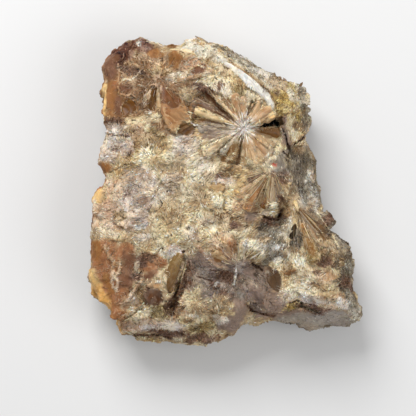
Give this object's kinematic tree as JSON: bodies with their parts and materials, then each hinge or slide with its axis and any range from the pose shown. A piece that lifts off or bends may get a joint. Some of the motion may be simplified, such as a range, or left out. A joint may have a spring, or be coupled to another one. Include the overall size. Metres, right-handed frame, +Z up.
{
  "type": "daisy gypsum mineral specimen",
  "caption": "Broken slab of brown, cream and grey gypsum with radiating daisy-like crystal sprays on its upper face, resting on a flat underside.",
  "frame": {"origin": "middle of the specimen's box, on the surface it rests on", "axes": "+Y from the thumb end to the top of the crystal face, along the specimen's length; +Z up, out of the crystal face, through its thickness; +X to the right as the crystal face is looked at from above"},
  "size_m": [0.0568, 0.0652, 0.0234],
  "materials": {
    "gypsum": "rough broken rock with glossy cleavage blades"
  },
  "bodies": {
    "root": {"daisy_gypsum": "gypsum"}
  },
  "joints": []
}
